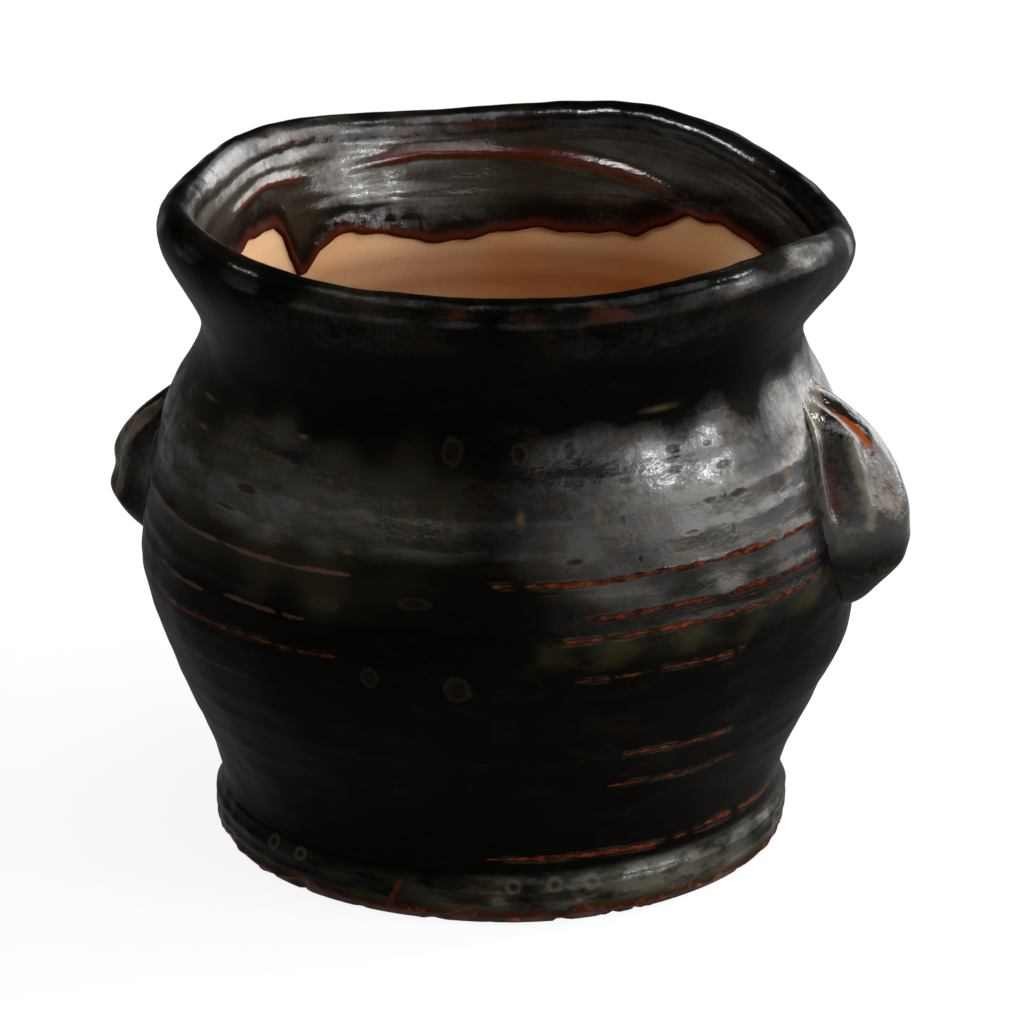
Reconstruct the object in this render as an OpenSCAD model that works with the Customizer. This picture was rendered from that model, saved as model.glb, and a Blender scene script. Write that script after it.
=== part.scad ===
// Small wheel-thrown stoneware sand pot with a hand-pinched lip and two ear lugs.
// Millimetres, +Z up. The origin is the middle of the foot's underside.
// The lugs lie on the X axis and the pressed hollows of the lugs face -Y.
// Heights are rises, each measured from the ring below it.

/* [Profile over the glaze] */
// Widest diameter of the belly
belly_d = 134; // [128:0.5:140]
// Rise from the top of the foot to the widest ring of the belly
belly_rise = 45.5; // [40:0.5:52]
// Diameter of the shoulder, where the wall starts to turn in
shoulder_d = 125; // [121:0.5:127]
// Rise from the widest ring to the shoulder
shoulder_rise = 26; // [22:0.5:30]
// Diameter of the neck at its waist
neck_d = 112; // [106:0.5:116]
// Rise from the shoulder to the waist of the neck
neck_rise = 16.5; // [14:0.5:20]
// Mean diameter of the rolled lip
lip_d = 129; // [122:0.5:134]
// Rise from the waist of the neck to the widest ring of the lip
lip_rise = 20.5; // [17:0.5:24]

/* [Walls] */
// Thickness of the clay wall in the belly
wall = 6; // [4.5:0.1:7.5]
// Thickness of the clay wall at the waist of the neck
neck_wall = 4.1; // [3.2:0.1:5]
// Thickness of the floor
floor_t = 8; // [6:0.5:10]
// Radius of the round corner between the floor and the wall inside
floor_round = 16; // [10:1:22]
// Thickness of the glaze coat, measured across the wall
glaze_t = 0.8; // [0.5:0.05:1.2]

/* [Foot] */
// Height of the flared foot ring, up to the groove below the belly
foot_h = 10.5; // [9:0.5:13]
// Widest diameter of the foot ring
foot_d = 108; // [107:0.2:111]
// Height of the widest line of the foot ring
foot_wide_z = 6.5; // [4:0.25:7.5]
// Diameter of the bare edge that stands on the table
foot_edge_d = 103.4; // [100:0.2:104.6]
// Diameter at the groove between foot and belly
groove_d = 105.2; // [103:0.2:106]
// Diameter of the hollow inside the foot ring
foot_hollow_d = 84; // [76:1:90]
// Depth of the hollow under the floor
foot_hollow_h = 3; // [2:0.5:5]
// Height of the bare clay edge below the glaze of the foot
bare_edge = 1.6; // [1.2:0.1:2.5]

/* [Throwing rings] */
// Rise from one throwing ring to the next
ring_step = 5.9; // [5:0.1:8]
// Rise from the widest ring of the belly to the throwing ring above it
ring_start = 2.3; // [0:0.1:5]
// Height of a throwing ring above its hollow
ring_height = 0.4; // [0.2:0.02:0.8]

/* [Lip] */
// Thickness of the rolled lip over the glaze
roll_t = 7.2; // [6:0.1:8.5]
// Rise of the lip's crest above its widest ring
roll_rise = 4.5; // [3.5:0.1:5.5]
// Lift of the crest for the waves that run 1, 3, 4 and 5 times round the lip
lip_lift = [2.7, 2.2, 1.8, 0.3]; // [0:0.1:3]
// Angle from +X at which each of those lifts is highest
lip_lift_at = [-147, -33, -25, 3]; // [-180:1:180]
// Push of the lip outwards for the same waves
lip_push = [1.6, 2.3, 2.1, 1.1]; // [0:0.1:3]
// Angle from +X at which each of those pushes is widest
lip_push_at = [-26, -11, 47, 27]; // [-180:1:180]
// Depth from the lip's widest ring to the edge of the glaze inside
dip_depth = 11; // [9:0.5:13]

/* [Right lug] */
// Reach of the right lug beyond the belly
lug_reach = 13; // [10:0.2:15]
// Width of the right lug at its root
lug_w = 23; // [19:0.5:27]
// Distance from the neck's seam down to the top of the right lug
lug_top_drop = 0.5; // [0.5:0.5:6]
// Distance from the widest ring of the belly down to the right lug's lower end
lug_low_drop = 6.5; // [3:0.5:9]
// Share of the right lug's height below its furthest point
lug_tip = 0.46; // [0.4:0.01:0.55]
// Fullness of the right lug's outline, lower is fuller
lug_full = 0.65; // [0.5:0.05:1]

/* [Left lug] */
// Reach of the left lug beyond the belly
left_reach = 11.6; // [9:0.2:14]
// Width of the left lug at its root
left_w = 22; // [18:0.5:26]
// Distance from the neck's seam down to the top of the left lug
left_top_drop = 12; // [6:0.5:15]
// Distance from the widest ring of the belly down to the left lug's lower end
left_low_drop = 6.5; // [3:0.5:9]
// Share of the left lug's height below its furthest point
left_tip = 0.44; // [0.38:0.01:0.55]
// Fullness of the left lug's outline, lower is fuller
left_full = 1; // [0.6:0.05:1.2]

/* [Pressed hollows of the lugs] */
// Depth of the long finger hollow beside the body
finger_deep = 2.6; // [1.5:0.1:3.5]
// Half width of the finger hollow
finger_w = 2.8; // [2:0.1:4]
// Half length of the finger hollow
finger_h = 10; // [7:0.5:13]
// Rise from a lug's furthest point to the middle of its finger hollow
finger_up = 8; // [5:0.5:11]
// Depth of the oval thumb print near the tip
thumb_deep = 1.5; // [0.5:0.1:2.5]
// Half width of the thumb print
thumb_w = 2.8; // [2:0.1:4]
// Half length of the thumb print
thumb_h = 5.5; // [4:0.5:8]
// Rise from a lug's furthest point to the middle of its thumb print
thumb_up = -1; // [-3:0.5:3]

/* [Hidden] */

// Clearance left where a piece or a coat meets the next one
seat = 0.05;
// Thickness of a lug's clay at the rim of its root
lug_edge = 0.3;
// Number of straight sides round the waved neck and lip
sides = 90;
// Height of one band of the turned outside, and of the inside and the neck
band = ring_step / 6;
inner_band = 3.5;
// Steps round the lip's roll, and across a lug
roll_steps = 6;
lug_steps = 6;
lug_band = 2.3;
// Share of a lug's outline that its grid of points covers
lug_close = 0.99;
// How far the two hollows lie to the front, as shares of a lug's width
finger_front = 0.3;
thumb_front = 0.1;
// Power of a lug's roundness across its width
lug_round = 1.1;
// How many times each wave of the lip runs round it
waves = [1, 3, 4, 5];
// Runs of the glaze edge inside: angle, extra drop and width of each
drips = [[110, 7.5, 48], [154, 7.5, 6], [120, 2, 9], [225, 5, 20], [284, 8, 8],
    [262, 3, 16], [322, 5, 18]];
// Slope of the wall where it rises out of the groove, and at the shoulder
groove_slope = 0.15;
shoulder_bend = 1.3;

belly_z = foot_h + belly_rise;
shoulder_z = belly_z + shoulder_rise;
neck_z = shoulder_z + neck_rise;
lip_z = neck_z + lip_rise;
// Height where the round pot ends and the hand-waved neck starts
seam_z = neck_z - 5;
floor_z = foot_hollow_h + floor_t;
// How far the neck's clay reaches down into the wall, and how far inside its faces
tongue = 1.5;
tongue_in = 0.4;

function smooth(t) = let (c = min(max(t, 0), 1)) c * c * (3 - 2 * c);
function blend(z, z0, z1, a, b) = a + (b - a) * smooth((z - z0) / (z1 - z0));
function sum(v, i = 0) = i < len(v) ? v[i] + sum(v, i + 1) : 0;
// Curve from height z0, radius a and slope u to height z1, radius b and slope 0
function swell(z, z0, z1, a, b, u) = let (h = z1 - z0, t = (z - z0) / h)
    blend(z, z0, z1, a, b) + t * (1 - t) * (1 - t) * h * u;
// Evenly spaced heights from a to b, no further apart than step
function heights(a, b, step) = let (n = ceil((b - a) / step)) [for (i = [0:n]) a + (b - a) * i / n];
function backward(v) = [for (i = [len(v) - 1:-1:0]) v[i]];

// Radius of the smooth outside over the glaze
shoulder_slope = -shoulder_bend * (belly_d - shoulder_d) / 2 / shoulder_rise;
function smooth_r(z) =
    z < belly_z ? swell(max(z, foot_h), foot_h, belly_z, groove_d / 2, belly_d / 2, groove_slope)
    : z < shoulder_z ? belly_d / 2
        - (belly_d - shoulder_d) / 2 * pow((z - belly_z) / shoulder_rise, shoulder_bend)
    : z < neck_z ? swell(z, shoulder_z, neck_z, shoulder_d / 2, neck_d / 2, shoulder_slope)
    : blend(z, neck_z, lip_z, neck_d / 2, lip_d / 2);
// Throwing rings, which fade out at the foot and at the seam
function ring_fade(z) = smooth((z - foot_h) / 8) * smooth((seam_z - z) / 12);
function glaze_r(z) = smooth_r(z)
    + ring_height / 2 * ring_fade(z) * cos(360 * (z - belly_z - ring_start) / ring_step);
function clay_r(z) = glaze_r(z) - glaze_t;

// Radius of the bare clay inside, with a round corner at the floor
function wall_at(z) = blend(z, belly_z, neck_z, wall, neck_wall);
function corner_in(z) = let (k = 1 - (z - floor_z) / floor_round)
    k < 0 ? 0 : floor_round * (1 - sqrt(1 - min(k * k, 1)));
function inside_r(z) = z > neck_z
    ? blend(z, neck_z, lip_z, neck_d / 2 - glaze_t - neck_wall, lip_d / 2 - roll_t + glaze_t)
    : smooth_r(z) - glaze_t - wall_at(z) - corner_in(z);

// Radius of the foot's clay
foot_wide_r = foot_d / 2 - glaze_t;
function foot_r(z) = z < foot_wide_z
    ? let (k = 1 - z / foot_wide_z) foot_edge_d / 2 + (foot_wide_r - foot_edge_d / 2) * sqrt(1 - k * k)
    : blend(z, foot_wide_z, foot_h, foot_wide_r, groove_d / 2 - glaze_t);

// The hand's waves, full at the lip and gone at the seam
function wave(size, at, a) = sum([for (i = [0:3]) size[i] * cos(waves[i] * (a - at[i]))]);
function waved(p, a) = let (
    w = smooth((p[1] - seam_z - seat) / (lip_z - seam_z)),
    r = p[0] + w * wave(lip_push, lip_push_at, a),
    z = p[1] + w * wave(lip_lift, lip_lift_at, a))
    [r * cos(a), r * sin(a), z];
// Section points of the lip's roll, from outside over the crest to inside
function roll(coat) = [for (i = [1:roll_steps - 1]) let (f = 180 * i / roll_steps)
    [lip_d / 2 - roll_t / 2 + (roll_t / 2 - coat) * cos(f), lip_z + (roll_rise - coat) * sin(f)]];
// Height of the glaze's edge inside, at angle a
function turn(a, b) = abs((a - b + 540) % 360 - 180);
function dip_z(a) = lip_z - dip_depth
    - sum([for (d = drips) d[1] * exp(-pow(turn(a, d[0]) / d[2], 3))]);

// Solid ring from closed sections, one for each side of the pot
module hoop(loops) {
    n = len(loops);
    m = len(loops[0]);
    polyhedron(
        points = [for (loop = loops) each loop],
        faces = [for (i = [0:n - 1], j = [0:m - 1], half = [0, 1]) let (
            a = i * m + j, b = i * m + (j + 1) % m,
            c = ((i + 1) % n) * m + (j + 1) % m, d = ((i + 1) % n) * m + j)
            half == 0 ? [a, b, c] : [a, c, d]]);
}

// Solid slab between two grids of points of the same size
module slab(top, under) {
    n = len(top);
    m = len(top[0]);
    k = n * m;
    polyhedron(
        points = concat([for (row = top) each row], [for (row = under) each row]),
        faces = concat(
            [for (i = [0:n - 2], j = [0:m - 2]) each tile(i * m + j, (i + 1) * m + j, 1)],
            [for (i = [0:n - 2], j = [1:m - 1]) each tile(k + i * m + j, k + (i + 1) * m + j, -1)],
            [for (i = [0:n - 2]) each rim((i + 1) * m, i * m, k)],
            [for (i = [0:n - 2]) each rim((i + 1) * m - 1, (i + 2) * m - 1, k)],
            [for (j = [0:m - 2]) each rim(j, j + 1, k)],
            [for (j = [0:m - 2]) each rim((n - 1) * m + j + 1, (n - 1) * m + j, k)]));
}
function tile(a, d, s) = [[a, d + s, a + s], [a, d, d + s]];
function rim(a, b, k) = [[a, b, b + k], [a, b + k, a + k]];

// Place of a height between a lug's two ends, from -1 to 1, with 0 at share tip
function lug_share(z, low, top, tip) = let (t = (z - low) / (top - low))
    lug_close * (t < tip ? (t - tip) / tip : (t - tip) / (1 - tip));
// Half the width of a lug's root at height z
function lug_half(z, low, top, w) = w / 2 * sqrt(1 - pow(lug_share(z, low, top, 0.5), 2));
// Depth share of a soft oval hollow about y0 and z0, with half width w and half length h
function dent(y, z, y0, z0, w, h) = exp(-pow((y - y0) / w, 2) - pow((z - z0) / h, 2));
// Raise of a lug over the wall, at height z and at y from its middle
function lug_raise(y, z, low, top, reach, w, tip, full) = let (
    s = lug_share(z, low, top, tip),
    q = y / lug_half(z, low, top, w),
    mid = low + (top - low) * tip)
    max(0, reach * pow(1 - s * s, full) * pow(max(0, 1 - q * q), lug_round)
        - finger_deep * dent(y, z, -finger_front * w, mid + finger_up, finger_w, finger_h)
        - thumb_deep * dent(y, z, -thumb_front * w, mid + thumb_up, thumb_w, thumb_h));
// Grid of points over a lug on the +X side, with a share of its raise and a coat
function lug_grid(low, top, reach, w, tip, full, share, coat) =
    [for (z = heights(low, top, lug_band)) [for (j = [-lug_steps:lug_steps]) let (
        y = j / lug_steps * lug_half(z, low, top, w),
        r = clay_r(z) + coat + share * lug_raise(y, z, low, top, reach, w, tip, full))
        [sqrt(r * r - y * y), y, z]]];

module lug_clay(low, top, reach, w, tip, full) {
    slab(lug_grid(low, top, reach, w, tip, full, 1, lug_edge),
        lug_grid(low, top, reach, w, tip, full, 0, seat));
}
module lug_coat(low, top, reach, w, tip, full) {
    slab(lug_grid(low, top, reach, w, tip, full, 1, glaze_t),
        lug_grid(low, top, reach, w, tip, full, 1, lug_edge + seat));
}
// Prism that opens the belly's glaze over a lug's root
module lug_window(low, top, w) {
    middle = (low + top) / 2;
    side = [for (z = heights(low, top, lug_band))
        [lug_half(z, low, top, w) + seat, z + (z > middle ? seat : -seat)]];
    rotate([90, 0, 90]) linear_extrude(belly_d)
        polygon(concat(side, backward([for (p = side) [-p[0], p[1]]])));
}

right_low = belly_z - lug_low_drop;
right_top = seam_z - lug_top_drop;
left_low = belly_z - left_low_drop;
left_top = seam_z - left_top_drop;

// Floor and thrown wall, with the waved neck and lip drawn out of it
module clay_body() {
    neck_out = [for (z = heights(seam_z, lip_z, inner_band)) [clay_r(z) - seat, z]];
    neck_in = [for (z = heights(seam_z, lip_z, inner_band)) [inside_r(z) + seat, z]];
    root_z = seam_z - tongue;
    section = concat([[clay_r(root_z) - tongue_in, root_z]], neck_out, roll(glaze_t + seat),
        backward(neck_in), [[inside_r(root_z) + tongue_in, root_z]]);
    color("tan") union() {
        rotate_extrude($fn = sides) polygon(concat(
            [[0, foot_hollow_h], [foot_hollow_d / 2 - seat, foot_hollow_h],
                [foot_hollow_d / 2 - seat, foot_h]],
            [for (z = heights(foot_h, seam_z, band)) [clay_r(z), z]],
            backward([for (z = heights(floor_z, seam_z, inner_band)) [inside_r(z), z]]),
            [[0, floor_z]]));
        hoop([for (i = [0:sides - 1]) [for (p = section) waved(p, 360 * i / sides)]]);
    }
}
// Flared ring that the pot stands on, bare along its lower edge
module foot_ring() {
    color("sienna") rotate_extrude($fn = sides) polygon(concat(
        [[foot_hollow_d / 2, foot_h], [foot_hollow_d / 2, 0]],
        [for (z = heights(0, foot_h, band)) [foot_r(z), z]]));
}
module lug_right() {
    color("tan") lug_clay(right_low, right_top, lug_reach, lug_w, lug_tip, lug_full);
}
module lug_left() {
    color("tan") mirror([1, 0, 0])
        lug_clay(left_low, left_top, left_reach, left_w, left_tip, left_full);
}
// Coat over the belly and the shoulder, open where the lugs are joined to the wall
module glaze_belly() {
    zs = heights(foot_h + seat, seam_z, band);
    color([0.09, 0.08, 0.07]) difference() {
        rotate_extrude($fn = sides) polygon(concat([for (z = zs) [glaze_r(z), z]],
            backward([for (z = zs) [clay_r(z) + seat, z]])));
        lug_window(right_low, right_top, lug_w);
        mirror([1, 0, 0]) lug_window(left_low, left_top, left_w);
    }
}
// Coat of the dipped mouth: neck, rolled lip and the band inside with its runs
module glaze_lip() {
    zs = heights(seam_z + seat, lip_z, inner_band);
    n = len(zs) - 1;
    color([0.13, 0.11, 0.1]) hoop([for (i = [0:sides - 1]) let (
        a = 360 * i / sides,
        low = dip_z(a),
        down = [for (j = [0:n]) lip_z + (low - lip_z) * j / n])
        [for (p = concat(
            [for (z = zs) [glaze_r(z), z]], roll(0),
            [for (z = down) [inside_r(z) - glaze_t, z]],
            [for (z = backward(down)) [inside_r(z), z]],
            backward(roll(glaze_t)), [for (z = backward(zs)) [clay_r(z), z]])) waved(p, a)]]);
}
module glaze_foot() {
    zs = heights(bare_edge, foot_h - seat, band);
    color([0.12, 0.1, 0.08]) rotate_extrude($fn = sides) polygon(concat(
        [for (z = zs) [foot_r(z) + glaze_t, z]], backward([for (z = zs) [foot_r(z) + seat, z]])));
}
module glaze_lug_right() {
    color([0.15, 0.13, 0.12])
        lug_coat(right_low, right_top, lug_reach, lug_w, lug_tip, lug_full);
}
module glaze_lug_left() {
    color([0.15, 0.13, 0.12]) mirror([1, 0, 0])
        lug_coat(left_low, left_top, left_reach, left_w, left_tip, left_full);
}

clay_body();
foot_ring();
lug_right();
lug_left();
glaze_belly();
glaze_lip();
glaze_foot();
glaze_lug_right();
glaze_lug_left();
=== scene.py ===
# %% [markdown]
# # A small sand pot with a hand-pinched lip
# The pot is thrown on a wheel, so almost every surface is a section turned round
# the Z axis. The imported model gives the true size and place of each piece. It is
# loaded first, and every piece made here goes where the model says.

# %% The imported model
import math

import bpy
import numpy as np
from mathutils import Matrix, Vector


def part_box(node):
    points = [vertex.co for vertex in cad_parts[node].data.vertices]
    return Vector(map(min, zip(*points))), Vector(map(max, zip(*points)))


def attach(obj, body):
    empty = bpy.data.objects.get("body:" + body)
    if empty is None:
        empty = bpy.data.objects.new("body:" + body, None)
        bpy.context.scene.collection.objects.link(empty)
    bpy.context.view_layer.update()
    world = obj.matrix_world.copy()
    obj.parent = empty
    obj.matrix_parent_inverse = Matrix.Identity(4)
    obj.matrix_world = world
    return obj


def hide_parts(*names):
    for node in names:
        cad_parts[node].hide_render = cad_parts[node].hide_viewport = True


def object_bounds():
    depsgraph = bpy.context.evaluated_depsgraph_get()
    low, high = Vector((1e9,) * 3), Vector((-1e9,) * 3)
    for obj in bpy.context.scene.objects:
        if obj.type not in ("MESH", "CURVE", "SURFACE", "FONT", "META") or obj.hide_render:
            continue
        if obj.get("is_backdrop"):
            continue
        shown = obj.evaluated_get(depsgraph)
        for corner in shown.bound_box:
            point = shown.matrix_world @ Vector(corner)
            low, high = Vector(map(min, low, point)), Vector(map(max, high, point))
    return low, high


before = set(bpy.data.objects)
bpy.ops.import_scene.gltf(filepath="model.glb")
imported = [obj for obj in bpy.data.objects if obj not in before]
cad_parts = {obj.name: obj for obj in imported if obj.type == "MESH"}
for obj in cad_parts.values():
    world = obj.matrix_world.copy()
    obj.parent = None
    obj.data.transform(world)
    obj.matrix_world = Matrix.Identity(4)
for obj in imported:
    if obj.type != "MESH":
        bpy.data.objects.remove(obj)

cad_box = [list(corner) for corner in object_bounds()]
print("Nodes:", ", ".join(sorted(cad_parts)))
print("Box of the packed model in metres:", cad_box)

# %% [markdown]
# # The camera
# The pot was photographed from far away with a long lens, 20 degrees above the
# table and a little to the right of the lugs' square view. A long lens keeps the
# mouth's ellipse flat, as it is in the picture. The camera comes first, because
# every later look at the work goes through it.

# %% The camera
view_turn = math.radians(15.6)
view_lift = math.radians(20.0)
view_distance = 1.2188
lens_mm = 228.5
aim_right, aim_up = 0.00206, 0.0608

image_right = Vector((math.cos(view_turn), math.sin(view_turn), 0))
image_front = Vector((math.sin(view_turn), -math.cos(view_turn), 0))
aim = image_right * aim_right + Vector((0, 0, aim_up))


def from_view(turn, lift):
    """Direction at an angle to the right of the camera's side and above the table."""
    t, u = math.radians(turn), math.radians(lift)
    flat = image_front * math.cos(t) + image_right * math.sin(t)
    return flat * math.cos(u) + Vector((0, 0, math.sin(u)))


bpy.ops.object.select_all(action="DESELECT")
to_camera = from_view(0, math.degrees(view_lift))
bpy.ops.object.camera_add(location=aim + to_camera * view_distance)
camera = bpy.context.object
camera.name = "photo_camera"
camera.rotation_euler = to_camera.to_track_quat("Z", "Y").to_euler()
camera.data.lens = lens_mm
bpy.context.scene.camera = camera
print("Camera at", [round(v, 3) for v in camera.location])

# %% [markdown]
# # Floor and light
# A glossy dark pot is drawn by what it reflects. A long soft panel to the right
# makes the broad silvery sheen on the shoulder. Three narrower ones beside it, each
# weaker than the one before, let the sheen fade toward the front. A weak and warm
# one fills the left, and others above, behind and far to the right light the inside
# and the floor. Four small windows leave the sharp glints. The floor is a wide pale
# disc. Part of its white is its own, for the camera and for reflections, so the
# background stays even while the pot's shadow is kept.

# %% Floor and light
floor_radius = 8.0
floor_white = 0.9
floor_own_light = 0.88
room_light = 0.045
warm_white, daylight, white = (1, 0.97, 0.94), (0.94, 0.97, 1), (1, 1, 1)
# Name, turn and lift in degrees, distance, width and height in metres, radiance, colour
lamps = (("right_panel", 93, 17, 1.3, 1.75, 1.0, 4.8, warm_white),
         ("right_edge", 50, 17, 1.3, 0.46, 0.95, 2.4, warm_white),
         ("right_fade", 29, 17, 1.3, 0.42, 0.9, 1.2, warm_white),
         ("front_fade", 9, 17, 1.3, 0.46, 0.8, 0.45, warm_white),
         ("left_panel", -76, 12, 1.4, 2.3, 0.6, 0.46, (1, 0.98, 0.9)),
         ("top_panel", 30, 72, 1.5, 1.1, 1.1, 3.0, white),
         ("back_panel", 150, 26, 1.4, 1.0, 0.6, 1.6, white),
         ("high_window", 76, 22, 1.3, 0.07, 0.07, 110.0, daylight),
         ("low_window", 62, 31, 1.3, 0.06, 0.06, 160.0, daylight),
         ("far_right_panel", 134, 15, 1.35, 1.1, 0.8, 4.0, (1, 0.98, 0.96)),
         ("left_window", -76, 52, 1.2, 0.12, 0.12, 60.0, (0.95, 0.98, 1)),
         ("right_window", 96, 50, 1.2, 0.12, 0.12, 60.0, (1, 0.99, 0.97)))

bpy.context.scene.view_settings.view_transform = "Standard"


def soft_panel(name, turn, lift, distance, wide, high, radiance, colour):
    """A rectangular lamp that looks at the pot. Radiance 1 shows as white in a mirror."""
    bpy.ops.object.select_all(action="DESELECT")
    way = from_view(turn, lift)
    bpy.ops.object.light_add(type="AREA", location=aim + way * distance)
    lamp = bpy.context.object
    lamp.name = name
    lamp.rotation_euler = way.to_track_quat("Z", "Y").to_euler()
    lamp.data.shape = "RECTANGLE"
    lamp.data.size = wide
    lamp.data.size_y = high
    lamp.data.energy = radiance * math.pi * wide * high
    lamp.data.color = colour


for lamp_values in lamps:
    soft_panel(*lamp_values)

world = bpy.data.worlds.new("dim_room")
bpy.context.scene.world = world
world.use_nodes = True
backdrop = world.node_tree.nodes["Background"]
backdrop.inputs["Color"].default_value = (room_light, room_light, room_light, 1)
backdrop.inputs["Strength"].default_value = 1.0

bpy.ops.object.select_all(action="DESELECT")
bpy.ops.mesh.primitive_circle_add(vertices=96, radius=floor_radius, fill_type="NGON")
floor = bpy.context.object
floor.name = "pale_floor"
floor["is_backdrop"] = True
print("Lamps:", len(lamps), "and a floor with a radius in metres of", floor_radius)

# %% [markdown]
# # Shader maths as plain expressions
# A material is a net of nodes, and long nets are hard to read. This small class
# wraps one socket, so that a sum or a product of two wrapped sockets adds the
# right Math node. Every other kind of node comes from the one method below.

# %% Shader maths
class Wire:
    """One value in a material, which Python's operators combine into new nodes."""

    def __init__(self, tree, socket=None):
        self.tree = tree
        self.socket = socket

    def node(self, kind, settings=None, values=None, out=0):
        """Adds a node, sets it up, then fills its sockets with numbers or wires."""
        made = self.tree.nodes.new(kind)
        for name, value in (settings or {}).items():
            setattr(made, name, value)
        fill(made.inputs, values or {})
        return Wire(self.tree, made.outputs[out])

    def maths(self, operation, *values):
        return self.node("ShaderNodeMath", {"operation": operation}, dict(enumerate(values)))

    def __add__(self, other):
        return self.maths("ADD", self, other)

    def __sub__(self, other):
        return self.maths("SUBTRACT", self, other)

    def __rsub__(self, other):
        return self.maths("SUBTRACT", other, self)

    def __mul__(self, other):
        return self.maths("MULTIPLY", self, other)

    __radd__ = __add__
    __rmul__ = __mul__

    def read(self, name):
        """A number that the mesh holds at each point."""
        return self.node("ShaderNodeAttribute", {"attribute_name": name}, out=2)

    def axis(self, number):
        """One of three coordinates, from metres to millimetres."""
        return self.node("ShaderNodeSeparateXYZ", {}, {0: self}, out=number) * 1000

    def absolute(self):
        return self.maths("ABSOLUTE", self)

    def highest(self, other):
        return self.maths("MAXIMUM", self, other)

    def rise(self, low, high, under=0.0, over=1.0):
        """0 below low, 1 above high, and a smooth step between them."""
        return self.node("ShaderNodeMapRange", {"interpolation_type": "SMOOTHSTEP"},
                         {0: self, 1: low, 2: high, 3: under, 4: over})

    def fall(self, low, high):
        """1 below low, 0 above high, and a smooth step between them."""
        return self.rise(low, high, 1.0, 0.0)

    def bump(self, strength, distance):
        """A normal that is dented by this height."""
        sizes = {"Strength": strength, "Distance": distance, "Height": self}
        return self.node("ShaderNodeBump", {}, sizes)

    def tint(self, under, over):
        """Colour under where this mask is 0, and over where it is 1."""
        return self.node("ShaderNodeMix", {"data_type": "RGBA"}, {0: self, 6: under, 7: over}, out=2)

    def noise(self, size, detail=2.0, rough=0.5, stretch=(1, 1, 1)):
        """Noise of about that size in millimetres, longer along an axis by its stretch."""
        scale = [1000 / size / s for s in stretch]
        place = self.node("ShaderNodeMapping", {}, {0: self, 3: scale})
        return self.node("ShaderNodeTexNoise", {}, {0: place, 2: 1.0, 3: detail, 4: rough, 8: 0.0})


def fill(sockets, values):
    """Links wires to sockets, found by name or number, and sets plain values on them."""
    for where, value in values.items():
        if isinstance(value, Wire):
            value.tree.links.new(value.socket, sockets[where])
        else:
            sockets[where].default_value = value


def ink(red, green, blue):
    """A colour from its 0 to 255 screen values, as the shaders take it."""
    def level(v):
        v = v / 255
        return v / 12.92 if v <= 0.04045 else ((v + 0.055) / 1.055) ** 2.4
    return (level(red), level(green), level(blue), 1.0)


def new_material(name):
    """An empty material, its shader and its object coordinates."""
    material = bpy.data.materials.new(name)
    material.use_nodes = True
    tree = material.node_tree
    return material, tree.nodes["Principled BSDF"], Wire(tree).node("ShaderNodeTexCoord", out=3)


def join(shader, **values):
    """Fills a shader's sockets, whose names are written with _ for a space."""
    fill(shader.inputs, {name.replace("_", " "): value for name, value in values.items()})


print("Shader helpers are ready")

# %% The floor's material
floor_look, shader, place = new_material("pale_floor")
tree = place.tree
tree.nodes.remove(shader)
ray = tree.nodes.new("ShaderNodeLightPath").outputs
seen = Wire(tree, ray["Is Camera Ray"])
for name in ("Is Glossy Ray", "Is Transmission Ray"):
    seen = seen.highest(Wire(tree, ray[name]))
matt = place.node("ShaderNodeBsdfDiffuse", {}, {"Color": (floor_white, floor_white, floor_white, 1)})
own = place.node("ShaderNodeEmission", {}, {"Color": (1, 1, 1, 1), "Strength": 1.0})
both = place.node("ShaderNodeMixShader", {}, {0: seen * floor_own_light, 1: matt, 2: own})
tree.links.new(both.socket, tree.nodes["Material Output"].inputs["Surface"])
floor.data.materials.append(floor_look)
print("Floor material:", floor_look.name)

# %% [markdown]
# # The pot's section
# These are the potter's sizes in millimetres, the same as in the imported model. The
# outside rises from a groove above the foot to the belly, leans in to the shoulder,
# draws in to the neck and flares to a rolled lip.

# %% Sizes of the section
MM = 0.001
belly_z, shoulder_z, neck_z, lip_z = 56.0, 82.0, 98.5, 119.0
belly_r, shoulder_r, neck_r, lip_r = 67.0, 62.5, 56.0, 64.5
foot_h, foot_wide_z, foot_wide_r, foot_edge_r = 10.5, 6.5, 54.0, 51.7
groove_r, groove_slope, shoulder_bend = 52.6, 0.15, 1.3
hollow_r, hollow_h, floor_z, floor_round = 42.0, 3.0, 11.0, 16.0
wall, neck_wall, coat = 6.0, 4.1, 0.8
roll_t, roll_rise = 7.2, 4.5
seam_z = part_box("glaze_belly")[1].z / MM
seat, joint = 0.05, 0.005


def smooth(t):
    t = np.clip(t, 0, 1)
    return t * t * (3 - 2 * t)


def blend(z, z0, z1, a, b):
    return a + (b - a) * smooth((z - z0) / (z1 - z0))


def hump(t, wide, power=2):
    """1 where t is 0, and down to nothing on both sides; a higher power has steeper sides."""
    return np.exp(-(t / wide) ** power)


def swell(z, z0, z1, a, b, slope):
    """A blend that leaves its lower end at a slope."""
    t = np.clip((z - z0) / (z1 - z0), 0, 1)
    return blend(z, z0, z1, a, b) + t * (1 - t) ** 2 * (z1 - z0) * slope


def outside_r(z):
    """Radius of the smooth outside, over the glaze."""
    way_up = np.clip(z - belly_z, 0, None) / (shoulder_z - belly_z)
    drop = (belly_r - shoulder_r) * way_up ** shoulder_bend
    slope = -shoulder_bend * (belly_r - shoulder_r) / (shoulder_z - belly_z)
    return np.select(
        [z < belly_z, z < shoulder_z, z < neck_z],
        [swell(z, foot_h, belly_z, groove_r, belly_r, groove_slope), belly_r - drop,
         swell(z, shoulder_z, neck_z, shoulder_r, neck_r, slope)],
        blend(z, neck_z, lip_z, neck_r, lip_r))


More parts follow.
